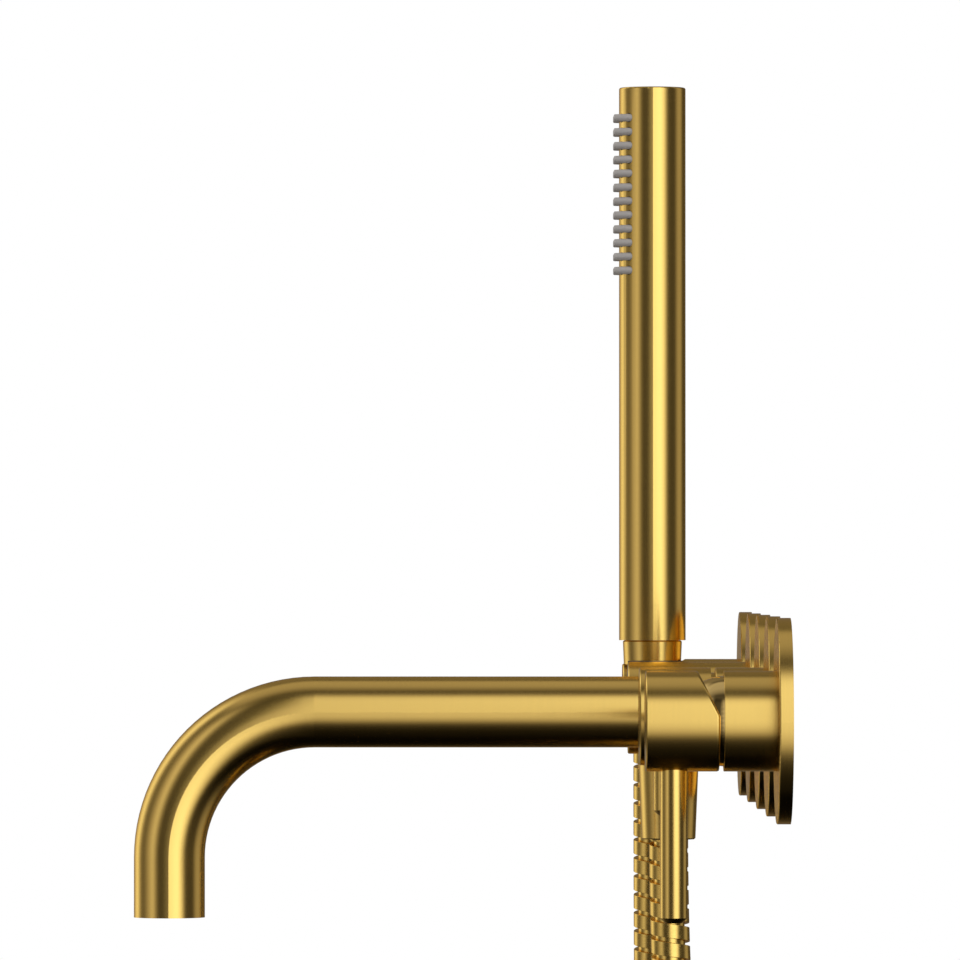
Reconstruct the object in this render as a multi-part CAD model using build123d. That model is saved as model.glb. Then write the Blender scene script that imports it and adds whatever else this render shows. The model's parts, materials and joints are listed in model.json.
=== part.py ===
"""Wall-mounted bath shower mixer set, in millimetres.

Five round rosettes stand in a row along X. The wall is the plane Y = 0 and the fittings stand out
of it towards -Y. Z is up. The origin is the centre of the spout's rosette, on the wall.
A depth is a distance out from the wall, so a point at depth d has Y = -d.
"""

import os
from math import acos, cos, degrees, pi, radians, sin, sqrt, tan

from build123d import *

# Degrees in a whole turn
full_turn = 360.0

# Row of fittings
unit_spacing = 115.0
places_share = {"mixer": 2, "diverter": 1, "spout": 0, "outlet": -1, "holder": -2}

# Clearances
slip_gap = 0.1
running_gap = 0.05
pin_gap = 0.02
ball_gap = 0.3
bore_gap = 0.15
cut_overrun = 2.0

# Rosettes and their gaskets
rosette_diameter = 75.0
rosette_thickness = 5.1
rosette_edge_radius = 0.5
rosette_rim_width = 1.6
rosette_land_width = 2.0
rosette_collar_width = 3.0
rosette_pocket_depth = 3.0
gasket_width = 3.4
gasket_thickness = 1.2

# Round housings of the four fittings that share one diameter
unit_diameter = 36.6
unit_length = 52.7
unit_chamfer = 0.4
sleeve_wall = 1.6
sleeve_front_depth = 24.3
handle_back_depth = 26.0

# Valve body inside a sleeve
valve_body_diameter = 29.2
valve_body_length = 19.0
valve_floor = 4.0
port_diameter = 5.0
port_circle_diameter = 12.0
port_count = 3

# Mixer cartridge with its ceramic discs
cartridge_diameter = 25.0
cartridge_shoulder_depth = 15.0
cartridge_neck_diameter = 18.8
cartridge_front_depth = 20.5
cartridge_base_thickness = 2.0
port_seal_section = 1.6
disc_pocket_diameter = 16.4
fixed_disc_thickness = 2.0
fixed_disc_rim_gap = 0.2
disc_port_diameter = 3.4
disc_port_circle_diameter = 9.0
moving_disc_diameter = 10.0
moving_disc_thickness = 2.35
drive_pocket_width = 2.7
drive_pocket_depth = 1.7
cartridge_nut_length = 3.9

# Carrier, pivot pin and stem of the mixer
pivot_depth = 24.2
flow_angle = 25.0
tail_length = 12.6
tail_ball_radius = 1.2
tail_neck_radius = 0.9
carrier_lift = 0.3
carrier_ear_height = 3.2
carrier_bridge_top = 5.0
carrier_bridge_back = 2.5
stem_blade_width = 5.0
stem_blade_thickness = 4.0
stem_eye_radius = 3.3
stem_square = 7.0
stem_square_lift = 5.6
stem_front_depth = 49.0
pivot_pin_diameter = 3.0
pivot_pin_length = 14.6

# Dome under the mixer's handle
dome_radius = 16.4
dome_wall = 1.65
dome_skirt_back_depth = 11.5
dome_opening_angle = 48.0
dome_opening_radius = 11.2

# Mixer handle
handle_floor_depth = 39.8
rim_break_height = 2.2
rim_angle = 25.8
socket_overrun = 0.5

# Lever pins and their grub screws
lever_depth = 42.4
lever_diameter = 10.0
lever_end_radius = 2.0
lever_seat_depth = 0.9
lever_thread_diameter = 6.0
lever_thread_length = 7.8
mixer_lever_tip = 73.4
diverter_lever_tip = 37.0
grub_diameter = 4.0
grub_length = 4.8
grub_key_width = 2.0
grub_key_depth = 2.0

# Diverter inside
headpart_diameter = 20.0
headpart_back_depth = 5.0
headpart_hex_width = 25.0
headpart_hex_thickness = 3.2
headpart_neck_diameter = 13.0
headpart_port_diameter = 4.5
headpart_front_depth = 30.0
spindle_diameter = 8.0
spindle_chamfer = 0.4
spindle_back_depth = 8.0
spindle_front_depth = 46.0
collar_front_depth = 32.0
diverter_bore_depth = 35.0
diverter_port_diameter = 9.0

# Spout
spout_diameter = 27.4
spout_wall = 1.7
spout_bend_radius = 56.0
spout_reach = 231.7
spout_drop = 79.2
socket_length = 20.0
inlet_thread_radius = 9.3
inlet_thread_length = 13.0
socket_water_diameter = 12.0
seal_section = 2.0
seal_squeeze = 0.1
seal_depths = (13.6, 17.0)
spout_grub_depth = 9.0
spout_grub_diameter = 5.0
spout_grub_tip_radius = 10.6
aerator_recess = 1.2
aerator_length = 11.0
aerator_wall = 1.5
aerator_lip = 1.2
aerator_disc_thickness = 4.0
aerator_hole_diameter = 2.2
aerator_rings_share = {0: 1, 0.34: 6, 0.66: 12}

# Wall outlet
outlet_axis_depth = 36.5
check_valve_diameter = 15.0
check_valve_length = 13.0
check_valve_bore = 9.0
check_valve_seat_bore = 4.5
check_valve_seat_setback = 4.0
outlet_channel_diameter = 10.0
nipple_spigot_diameter = 16.0
nipple_spigot_length = 13.0
spot_face_depth = 0.4
spot_face_diameter = 24.9

# Conical hose nuts, washers and ferrules
hose_nut_top_diameter = 24.1
hose_nut_bottom_diameter = 21.4
hose_nut_length = 34.2
hose_nut_edge = 0.5
hose_thread_radius = 10.3
hose_thread_gap = 0.15
hose_thread_length = 11.0
hose_water_bore = 9.0
washer_thickness = 2.0
washer_bore = 10.4
washer_diameter = 19.6
ferrule_flange_thickness = 2.5
ferrule_flange_diameter = 18.0
ferrule_tube_diameter = 8.0
ferrule_bore = 6.0
ferrule_length = 20.0
nut_seat_gap = 0.1
nut_hose_gap = 0.2

# Holder
holder_axis_depth = 40.5
cup_wall = 1.2
cup_gap = 0.3
cup_height = 17.6
holder_slot_width = 16.8
wall_boss_diameter = 18.0
wall_boss_length = 13.0
boss_screw_hole_diameter = 5.2
boss_screw_head_diameter = 10.0
boss_screw_head_depth = 3.0
holder_grub_depth = 7.0
holder_grub_diameter = 5.0
holder_grub_length = 8.6

# Hand shower
handset_diameter = 27.2
handset_wall = 1.4
handset_bottom = 26.0
handset_top = 251.8
handset_edge_radius = 0.8
connector_length = 14.0
connector_rim = 2.0
nozzle_rows = 12
nozzle_top_inset = 12.6
nozzle_field_length = 62.3
nozzle_column_angles = (-44.0, -22.0, 0.0, 22.0, 44.0)
nozzle_diameter = 3.3
nozzle_hole_diameter = 3.7
nozzle_reach = 2.3
mat_thickness = 1.1
mat_half_angle = 56.0
mat_margin = 5.0
chamber_wall = 1.6
chamber_margin = 8.0
chamber_window_half_angle = 50.0
flow_tube_diameter = 14.0
flow_tube_wall = 1.4

# Hose and its ties
hose_diameter = 15.6
hose_bore = 8.2
rib_pitch = 7.4
rib_groove_width = 1.7
rib_slope_width = 0.1
rib_groove_depth = 1.8
hose_split_height = -116.0
hose_start_drop = 0.2
coil_overhang = 36.5
coil_centre_height = -290.0
coil_layer_pitch = 16.4
coil_back_depth = 22.0
coil_merge_radius = 64.0
coil_climbs = 1
climb_half_angle = 52.0
climb_slope_share = 1.5
tie_width = 10.0
tie_thickness = 0.8
tie_gap = 0.3
tie_corner_radius = 4.0
tie_angles = (-60.0, -120.0)
gap_samples = 600
straight_tolerance = 1e-9

# Sizes that follow from those above
unit_radius = unit_diameter / 2
sleeve_bore_radius = unit_radius - sleeve_wall
dome_bore_radius = dome_radius - dome_wall
cavity_radius = dome_radius + ball_gap
lever_top = unit_radius - lever_seat_depth
grub_top = lever_top - lever_thread_length - slip_gap
cartridge_back_depth = valve_floor + port_seal_section
fixed_disc_back_depth = cartridge_back_depth + cartridge_base_thickness
moving_disc_back_depth = fixed_disc_back_depth + fixed_disc_thickness + running_gap
moving_disc_front_depth = moving_disc_back_depth + moving_disc_thickness
disc_travel = tail_length * sin(radians(flow_angle))
spout_radius = spout_diameter / 2
spout_bore_radius = spout_radius - spout_wall
handset_radius = handset_diameter / 2
handset_bore_radius = handset_radius - handset_wall
hose_radius = hose_diameter / 2
hose_ends_spread = unit_spacing * (places_share["outlet"] - places_share["holder"])
coil_radius = hose_ends_spread / 2 + coil_overhang
nozzle_top_row = handset_top - nozzle_top_inset
nozzle_bottom_row = nozzle_top_row - nozzle_field_length
nozzle_pitch = nozzle_field_length / (nozzle_rows - 1)
outlet_nut_top = -(unit_radius - spot_face_depth + slip_gap)
handset_nut_top = handset_bottom - slip_gap

parts = {}


def place_x(unit):
    return unit_spacing * places_share[unit]


def keep(name, shape, unit=None, depth=0.0, height=0.0):
    """Store one piece, moved to its unit, its depth and its height."""
    x = place_x(unit) if unit else 0
    parts[name] = Pos(x, -depth, height) * shape


def outline_face(points):
    return make_face(Polyline(*points, close=True))


def turned(points):
    """A solid turned about the axis that stands out of the wall, from (radius, depth) points."""
    face = outline_face([(radius, -depth) for radius, depth in points])
    return revolve(face, Axis.Y)


def upright(points):
    """A solid turned about a vertical axis, from (radius, height) points."""
    face = Plane.XZ * outline_face(points)
    return revolve(face, Axis.Z)


def rod_out(radius, back, front):
    """A round rod along the wall's normal, between two depths."""
    return turned([(0, back), (radius, back), (radius, front), (0, front)])


def rod_up(radius, low, high):
    return upright([(0, low), (radius, low), (radius, high), (0, high)])


def ring_out(outer, inner, back, front):
    return turned([(inner, back), (outer, back), (outer, front), (inner, front)])


def ring_up(outer, inner, low, high):
    return upright([(inner, low), (outer, low), (outer, high), (inner, high)])


def rod_across(radius, length):
    return Rot(0, 90, 0) * Cylinder(radius, length)


def block(x_size, depths, heights):
    """A box centred on X = 0, between two depths and two heights."""
    middle = (0, -(depths[0] + depths[1]) / 2, (heights[0] + heights[1]) / 2)
    return Pos(*middle) * Box(x_size, depths[1] - depths[0], heights[1] - heights[0])


def rosette(bore_radius):
    outer = rosette_diameter / 2
    groove_outer = outer - rosette_rim_width
    groove_inner = groove_outer - gasket_width
    pocket_outer = groove_inner - rosette_land_width
    pocket_inner = bore_radius + rosette_collar_width
    body = turned([
        (bore_radius, 0),
        (pocket_inner, 0),
        (pocket_inner, rosette_pocket_depth),
        (pocket_outer, rosette_pocket_depth),
        (pocket_outer, 0),
        (groove_inner, 0),
        (groove_inner, gasket_thickness),
        (groove_outer, gasket_thickness),
        (groove_outer, 0),
        (outer, 0),
        (outer, rosette_thickness),
        (bore_radius, rosette_thickness),
    ])
    front_edge = body.edges().filter_by(GeomType.CIRCLE).sort_by(lambda e: e.radius - e.center().Y)[-1]
    return fillet(front_edge, rosette_edge_radius)


def rosette_gasket():
    outer = rosette_diameter / 2 - rosette_rim_width - slip_gap
    inner = outer - gasket_width + 2 * slip_gap
    return ring_out(outer, inner, 0, gasket_thickness)


def sleeve():
    return turned([
        (sleeve_bore_radius, 0),
        (unit_radius, 0),
        (unit_radius, sleeve_front_depth - unit_chamfer),
        (unit_radius - unit_chamfer, sleeve_front_depth),
        (sleeve_bore_radius, sleeve_front_depth),
    ])


def housing(back):
    """The plain round front housing, with its small bright chamfer, from a depth to the front."""
    return turned([
        (0, back),
        (unit_radius, back),
        (unit_radius, unit_length - unit_chamfer),
        (unit_radius - unit_chamfer, unit_length),
        (0, unit_length),
    ])


def port_holes(diameter, circle_diameter, back, front):
    holes = []
    for index in range(port_count):
        turn = full_turn * index / port_count + 90
        hole = Pos(circle_diameter / 2, 0, 0) * rod_out(diameter / 2, back, front)
        holes.append(Rot(0, -turn, 0) * hole)
    return holes


def mixer_valve_body():
    body = rod_out(valve_body_diameter / 2, 0, valve_body_length)
    body -= rod_out(cartridge_diameter / 2 + slip_gap, valve_floor, valve_body_length + cut_overrun)
    for hole in port_holes(port_diameter, port_circle_diameter, -cut_overrun, valve_floor + cut_overrun):
        body -= hole
    return body


def port_seals():
    """Three rubber rings between the valve body's floor and the cartridge."""
    ring_radius = port_diameter / 2 + port_seal_section / 2
    seals = []
    for index in range(port_count):
        turn = full_turn * index / port_count + 90
        ring = ring_out(
            ring_radius + port_seal_section / 2,
            ring_radius - port_seal_section / 2,
            valve_floor,
            cartridge_back_depth,
        )
        seals.append(Rot(0, -turn, 0) * (Pos(port_circle_diameter / 2, 0, 0) * ring))
    return Compound(children=seals)


def mixer_cartridge():
    body = turned([
        (0, cartridge_back_depth),
        (cartridge_diameter / 2, cartridge_back_depth),
        (cartridge_diameter / 2, cartridge_shoulder_depth),
        (cartridge_neck_diameter / 2, cartridge_shoulder_depth),
        (cartridge_neck_diameter / 2, cartridge_front_depth),
        (0, cartridge_front_depth),
    ])
    body -= rod_out(disc_pocket_diameter / 2, fixed_disc_back_depth, cartridge_front_depth + cut_overrun)
    low = cartridge_back_depth - cut_overrun
    high = fixed_disc_back_depth + cut_overrun
    for hole in port_holes(disc_port_diameter, port_circle_diameter, low, high):
        body -= hole
    return body


def fixed_disc():
    radius = disc_pocket_diameter / 2 - fixed_disc_rim_gap
    back = fixed_disc_back_depth
    front = back + fixed_disc_thickness
    disc = rod_out(radius, back, front)
    for hole in port_holes(disc_port_diameter, disc_port_circle_diameter, back - cut_overrun, front + cut_overrun):
        disc -= hole
    return disc


def moving_disc():
    """The ceramic disc that the stem's ball slides up and down, with its drive pocket in front."""
    disc = Pos(0, 0, disc_travel / 2) * rod_out(
        moving_disc_diameter / 2, moving_disc_back_depth, moving_disc_front_depth)
    half = drive_pocket_width / 2
    pocket_back = moving_disc_front_depth - drive_pocket_depth
    pocket = block(drive_pocket_width, (pocket_back, moving_disc_front_depth + cut_overrun), (-half, half))
    return disc - pocket


def cartridge_nut():
    front = cartridge_shoulder_depth + cartridge_nut_length
    ring = ring_out(
        cartridge_diameter / 2,
        cartridge_neck_diameter / 2 + slip_gap,
        cartridge_shoulder_depth + slip_gap,
        front,
    )
    slot = block(
        cartridge_diameter + cut_overrun,
        (front - cartridge_nut_length / 2, front + cut_overrun),
        (-drive_pocket_width / 2, drive_pocket_width / 2),
    )
    return ring - slot


def mixer_dome():
    """The fixed ball under the handle: a skirt that screws on the valve body and a round shell."""
    bore = valve_body_diameter / 2 + bore_gap
    skirt = ring_out(dome_radius, bore, dome_skirt_back_depth, pivot_depth)
    shell = Pos(0, -pivot_depth, 0) * (Sphere(dome_radius) - Sphere(dome_bore_radius))
    top = pivot_depth + dome_radius * cos(radians(dome_opening_angle))
    shell &= rod_out(dome_radius + cut_overrun, pivot_depth, top)
    shell -= rod_out(dome_opening_radius, pivot_depth - cut_overrun, top + cut_overrun)
    return skirt + shell


def mixer_carrier():
    """The turning fork that holds the stem's pivot pin and guides its tail."""
    radius = disc_pocket_diameter / 2 - running_gap
    back = moving_disc_front_depth + carrier_lift
    front = pivot_depth + carrier_ear_height
    body = rod_out(radius, back, front)
    slot_width = stem_blade_width + 2 * running_gap
    edge = radius + cut_overrun
    bridge_front = pivot_depth - carrier_bridge_top
    body -= block(slot_width, (bridge_front, front + cut_overrun), (-edge, edge))
    body -= block(slot_width, (back - cut_overrun, bridge_front + cut_overrun), (-edge, carrier_bridge_back))
    pin_hole = rod_across(pivot_pin_diameter / 2 + pin_gap, 2 * edge)
    return body - Pos(0, -pivot_depth, 0) * pin_hole


def mixer_pivot_pin():
    return rod_across(pivot_pin_diameter / 2, pivot_pin_length)


def mixer_stem():
    """The stem: ball and tail behind the pivot, an eye round the pin and a square in front."""
    ball_depth = pivot_depth - tail_length
    neck_front = ball_depth + 2 * tail_ball_radius + slip_gap
    ball = Pos(0, -ball_depth, 0) * Sphere(tail_ball_radius)
    neck = rod_out(tail_neck_radius, ball_depth, neck_front + tail_ball_radius)
    half_blade = stem_blade_thickness / 2
    square_back = pivot_depth + stem_square_lift
    blade = block(stem_blade_width, (neck_front, square_back + slip_gap), (-half_blade, half_blade))
    eye = Pos(0, -pivot_depth, 0) * rod_across(stem_eye_radius, stem_blade_width)
    half_square = stem_square / 2
    square = block(stem_square, (square_back, stem_front_depth), (-half_square, half_square))
    hole = Pos(0, -pivot_depth, 0) * rod_across(pivot_pin_diameter / 2 + running_gap, stem_square)
    return ball + neck + blade + eye + square - hole


def lever_bores():
    """The seat, the thread and the grub screw's hole that a lever pin needs in a handle."""
    seat = rod_up(lever_diameter / 2 + running_gap, -unit_radius - cut_overrun, -lever_top)
    thread = rod_up(lever_thread_diameter / 2 + running_gap, -unit_radius, -grub_top)
    grub = rod_up(grub_diameter / 2 + running_gap, -unit_radius, 0)
    return Pos(0, -lever_depth, 0) * (seat + thread + grub)


def mixer_handle():
    """The handle's cap: a round cavity over the dome, and a rear rim cut away above for the tilt."""
    cap = housing(handle_back_depth)
    cavity = Pos(0, -pivot_depth, 0) * Sphere(cavity_radius)
    cavity &= rod_out(cavity_radius + cut_overrun, -cut_overrun, handle_floor_depth)
    cap -= cavity
    half = stem_square / 2 + slip_gap
    socket_end = stem_front_depth + socket_overrun
    cap -= block(2 * half, (handle_floor_depth - cut_overrun, socket_end), (-half, half))
    rise = unit_radius + cut_overrun - rim_break_height
    run = rise * tan(radians(rim_angle))
    wedge_outline = [
        (-handle_back_depth, rim_break_height),
        (-handle_back_depth - run, rim_break_height + rise),
        (-handle_back_depth + cut_overrun, rim_break_height + rise),
        (-handle_back_depth + cut_overrun, rim_break_height),
    ]
    wedge = extrude(Plane.YZ * outline_face(wedge_outline), unit_radius + cut_overrun, both=True)
    return cap - wedge - lever_bores()


def lever_pin(tip):
    """A pin lever that hangs below its handle and screws into it."""
    radius = lever_diameter / 2
    pin = rod_up(radius, -tip, -lever_top)
    pin = fillet(pin.edges().filter_by(GeomType.CIRCLE).sort_by(Axis.Z)[0], lever_end_radius)
    thread_top = -lever_top + lever_thread_length
    return pin + rod_up(lever_thread_diameter / 2, -lever_top - slip_gap, thread_top)


def grub_screw(tip_height, length, diameter):
    """A headless screw that points up, with a key hole in its lower end."""
    screw = rod_up(diameter / 2, tip_height - length, tip_height)
    key = extrude(RegularPolygon(grub_key_width / 2, 6, major_radius=False), grub_key_depth + cut_overrun)
    return screw - Pos(0, 0, tip_height - length - cut_overrun) * key


def diverter_valve_body():
    body = rod_out(valve_body_diameter / 2, 0, valve_body_length)
    body -= rod_out(headpart_diameter / 2 + slip_gap, valve_floor, valve_body_length + cut_overrun)
    body -= rod_out(diverter_port_diameter / 2, -cut_overrun, valve_floor + cut_overrun)
    return body


def diverter_headpart():
    """The brass headpart: a threaded barrel, a hexagon on the valve body's end and a neck."""
    hex_back = valve_body_length + slip_gap
    body = rod_out(headpart_diameter / 2, headpart_back_depth, hex_back)
    body += rod_out(headpart_neck_diameter / 2, hex_back, headpart_front_depth)
    flats = Rot(90, 0, 0) * extrude(
        RegularPolygon(headpart_hex_width / 2, 6, major_radius=False), headpart_hex_thickness)
    body += Pos(0, -hex_back, 0) * flats
    bore_back = spindle_back_depth - slip_gap
    body -= rod_out(spindle_diameter / 2 + running_gap, bore_back, headpart_front_depth + cut_overrun)
    return body - rod_out(headpart_port_diameter / 2, headpart_back_depth - cut_overrun, bore_back + cut_overrun)


def diverter_spindle():
    radius = spindle_diameter / 2
    return turned([
        (0, spindle_back_depth),
        (radius, spindle_back_depth),
        (radius, spindle_front_depth - spindle_chamfer),
        (radius - spindle_chamfer, spindle_front_depth),
        (0, spindle_front_depth),
    ])


def diverter_collar():
    return ring_out(
        dome_radius, valve_body_diameter / 2 + bore_gap, dome_skirt_back_depth, collar_front_depth)


def diverter_handle():
    cap = housing(handle_back_depth)
    cap -= rod_out(cavity_radius, handle_back_depth - cut_overrun, diverter_bore_depth)
    cap -= rod_out(spindle_diameter / 2 + slip_gap, diverter_bore_depth - cut_overrun,
                   spindle_front_depth + socket_overrun)
    return cap - lever_bores()


def spout_path(radius):
    """A round bar along the spout: out of the wall, round the bend and down to the tip."""
    bend_start = spout_reach - spout_bend_radius
    line_out = Line((0, 0, 0), (0, -bend_start, 0))
    bend_middle = (
        0,
        -bend_start - spout_bend_radius * sin(pi / 4),
        -spout_bend_radius * (1 - cos(pi / 4)),
    )
    bend_end = (0, -spout_reach, -spout_bend_radius)
    bend = ThreePointArc((0, -bend_start, 0), bend_middle, bend_end)
    line_down = Line(bend_end, (0, -spout_reach, -spout_drop))
    path = Wire([line_out.edge(), bend.edge(), line_down.edge()])
    return sweep(Plane.XZ * Circle(radius), path)


def spout_tube():
    tube = spout_path(spout_radius) - spout_path(spout_bore_radius)
    hole = rod_up(spout_grub_diameter / 2 + slip_gap, -spout_radius - cut_overrun, 0)
    return tube - Pos(0, -spout_grub_depth, 0) * hole


def spout_socket():
    """The inlet socket in the spout's root: a wall thread, a water bore and two seal grooves."""
    outer = spout_bore_radius - slip_gap / 2
    groove_inner = outer - seal_section + seal_squeeze
    points = [(inlet_thread_radius, 0), (outer, 0)]
    for depth in seal_depths:
        half = seal_section / 2 + slip_gap
        points += [
            (outer, depth - half),
            (groove_inner, depth - half),
            (groove_inner, depth + half),
            (outer, depth + half),
        ]
    points += [
        (outer, socket_length),
        (socket_water_diameter / 2, socket_length),
        (socket_water_diameter / 2, inlet_thread_length),
        (inlet_thread_radius, inlet_thread_length),
    ]
    socket = turned(points)
    dimple_radius = spout_grub_diameter / 2 + slip_gap
    dimple = rod_up(dimple_radius, -outer - cut_overrun, -spout_grub_tip_radius)
    return socket - Pos(0, -spout_grub_depth, 0) * dimple


def spout_seals():
    outer = spout_bore_radius - slip_gap / 2
    inner = outer - seal_section + 2 * seal_squeeze
    rings = []
    for depth in seal_depths:
        rings.append(ring_out(outer, inner, depth - seal_section / 2, depth + seal_section / 2))
    return Compound(children=rings)


def aerator_housing():
    outer = spout_bore_radius - slip_gap
    bore = outer - aerator_wall
    low = -spout_drop + aerator_recess
    high = low + aerator_length
    return upright([
        (bore - aerator_lip, low),
        (outer, low),
        (outer, high),
        (bore, high),
        (bore, low + aerator_lip),
        (bore - aerator_lip, low + aerator_lip),
    ])


def aerator_insert():
    radius = spout_bore_radius - slip_gap - aerator_wall - slip_gap
    low = -spout_drop + aerator_recess + aerator_lip + slip_gap
    disc = rod_up(radius, low, low + aerator_disc_thickness)
    for ring_share, count in aerator_rings_share.items():
        for index in range(count):
            turn = full_turn * index / count
            hole = rod_up(aerator_hole_diameter / 2, low - cut_overrun, low + aerator_disc_thickness + cut_overrun)
            disc -= Rot(0, 0, turn) * (Pos(radius * ring_share, 0, 0) * hole)
    return disc


def outlet_body():
    """The elbow: a wall thread and a check valve bore behind, and a nipple bore below."""
    body = housing(0)
    thread_end = inlet_thread_length
    valve_end = thread_end + check_valve_length
    body -= rod_out(inlet_thread_radius, -cut_overrun, thread_end)
    body -= rod_out(check_valve_diameter / 2 + slip_gap, 0, valve_end + slip_gap)
    body -= rod_out(outlet_channel_diameter / 2, 0, outlet_axis_depth)
    spigot_top = outlet_nut_top + nipple_spigot_length
    nipple_bore = rod_up(nipple_spigot_diameter / 2 + running_gap, -unit_radius - cut_overrun, spigot_top)
    spot_face = rod_up(spot_face_diameter / 2, -unit_radius - cut_overrun, spot_face_depth - unit_radius)
    body -= Pos(0, -outlet_axis_depth, 0) * (nipple_bore + spot_face)
    return body


def check_valve():
    """The non-return insert, a closed bought-in piece with its seat bore."""
    back = inlet_thread_length + slip_gap
    front = inlet_thread_length + check_valve_length
    return turned([
        (check_valve_bore / 2, back),
        (check_valve_diameter / 2, back),
        (check_valve_diameter / 2, front),
        (check_valve_seat_bore / 2, front),
        (check_valve_seat_bore / 2, back + check_valve_seat_setback),
        (check_valve_bore / 2, back + check_valve_seat_setback),
    ])


def nipple():
    top = outlet_nut_top
    return upright([
        (hose_water_bore / 2, top - hose_thread_length),
        (hose_thread_radius, top - hose_thread_length),
        (hose_thread_radius, top),
        (nipple_spigot_diameter / 2, top),
        (nipple_spigot_diameter / 2, top + nipple_spigot_length - slip_gap),
        (hose_water_bore / 2, top + nipple_spigot_length - slip_gap),
    ])


def hose_nut():
    """The conical union nut, with its top face at height zero."""
    top_radius = hose_nut_top_diameter / 2
    bottom_radius = hose_nut_bottom_diameter / 2
    thread_bore = hose_thread_radius + hose_thread_gap
    shoulder = -(hose_thread_length + washer_thickness + ferrule_flange_thickness + nut_seat_gap)
    hose_hole = hose_radius + nut_hose_gap
    return upright([
        (hose_hole, -hose_nut_length),
        (bottom_radius - hose_nut_edge, -hose_nut_length),
        (bottom_radius, -hose_nut_length + hose_nut_edge),
        (top_radius, -hose_nut_edge),
        (top_radius - hose_nut_edge, 0),
        (thread_bore, 0),
        (thread_bore, shoulder),
        (hose_hole, shoulder),
    ])


def seal_washer():
    top = -hose_thread_length
    return ring_up(washer_diameter / 2, washer_bore / 2, top - washer_thickness, top)


def hose_ferrule():
    """The flanged end of the hose, held in its nut by the flange."""
    top = -(hose_thread_length + washer_thickness)
    flange_low = top - ferrule_flange_thickness
    return upright([
        (ferrule_bore / 2, flange_low - ferrule_length),
        (ferrule_tube_diameter / 2, flange_low - ferrule_length),
        (ferrule_tube_diameter / 2, flange_low),
        (ferrule_flange_diameter / 2, flange_low),
        (ferrule_flange_diameter / 2, top),
        (ferrule_bore / 2, top),
    ])


def cup_radius(height):
    """The holder cup's inner radius at a height: the seated nut's cone and the cup's gap."""
    taper = (hose_nut_top_diameter - hose_nut_bottom_diameter) / 2 / hose_nut_length
    return hose_nut_top_diameter / 2 + cup_gap - taper * (handset_nut_top - height)


def front_slot(back):
    edge = unit_radius + cut_overrun
    return block(holder_slot_width, (back, unit_length + cut_overrun), (-edge, edge))


def holder_body():
    body = housing(0)
    low = -unit_radius - cut_overrun
    high = unit_radius + cut_overrun
    wall = cup_wall + slip_gap
    seat = upright([(0, low), (cup_radius(low) + wall, low), (cup_radius(high) + wall, high), (0, high)])
    body -= Pos(0, -holder_axis_depth, 0) * seat
    body -= front_slot(holder_axis_depth)
    body -= rod_out(wall_boss_diameter / 2 + slip_gap, -cut_overrun, wall_boss_length + slip_gap)
    grub_hole = rod_up(holder_grub_diameter / 2 + slip_gap, low, 0)
    return body - Pos(0, -holder_grub_depth, 0) * grub_hole


def holder_cup():
    """The conical cup that the hand shower's nut stands in, open in front for the hose."""
    low = cup_radius(-cup_height)
    high = cup_radius(cup_height)
    cup = upright([
        (low, -cup_height),
        (low + cup_wall, -cup_height),
        (high + cup_wall, cup_height),
        (high, cup_height),
    ])
    return Pos(0, -holder_axis_depth, 0) * cup - front_slot(holder_axis_depth)


def wall_boss():
    """The boss that is screwed to the wall and carries the holder."""
    boss = rod_out(wall_boss_diameter / 2, 0, wall_boss_length)
    boss -= rod_out(boss_screw_hole_diameter / 2, -cut_overrun, wall_boss_length)
    head_back = wall_boss_length - boss_screw_head_depth
    return boss - rod_out(boss_screw_head_diameter / 2, head_back, wall_boss_length + cut_overrun)


def around_front(angle, shape):
    """Turn a shape that points to -Y by an angle about the hand shower's axis."""
    return Rot(0, 0, angle) * shape


def nozzle_pegs(radius, reach_from, reach_to):
    """Rods through every nozzle place, between two distances from the hand shower's axis."""
    pegs = []
    for row in range(nozzle_rows):
        height = nozzle_bottom_row + row * nozzle_pitch
        for angle in nozzle_column_angles:
            peg = rod_out(radius, reach_from, reach_to)
            pegs.append(Pos(0, 0, height) * around_front(angle, peg))
    return pegs


def front_sector(half_angle, low, high):
    """A wedge of a round bar about the hand shower's axis, facing the front."""
    reach = handset_diameter
    edge = reach * tan(radians(half_angle) / 2)
    side = (reach * sin(radians(half_angle)), -reach * cos(radians(half_angle)))
    outline = [(0, 0), (-side[0], side[1]), (-edge, -reach), (edge, -reach), (side[0], side[1])]
    return Pos(0, 0, low) * extrude(outline_face(outline), high - low)


def handset_tube():
    tube = rod_up(handset_radius, handset_bottom, handset_top)
    top_edge = tube.edges().filter_by(GeomType.CIRCLE).sort_by(Axis.Z)[-1]
    tube = fillet(top_edge, handset_edge_radius)
    tube -= rod_up(handset_bore_radius, handset_bottom - cut_overrun, handset_top - handset_wall)
    reach_from = handset_bore_radius - cut_overrun
    reach_to = handset_radius + cut_overrun
    return tube - nozzle_pegs(nozzle_hole_diameter / 2, reach_from, reach_to)


def handset_nozzles():
    """The silicone mat behind the tube's wall, with its nozzles through the holes."""
    outer = handset_bore_radius - slip_gap
    inner = outer - mat_thickness
    low = nozzle_bottom_row - mat_margin
    high = nozzle_top_row + mat_margin
    mat = ring_up(outer, inner, low, high) & front_sector(mat_half_angle, low, high)
    middle = (outer + inner) / 2
    return mat + nozzle_pegs(nozzle_diameter / 2, middle, handset_radius + nozzle_reach)


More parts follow.
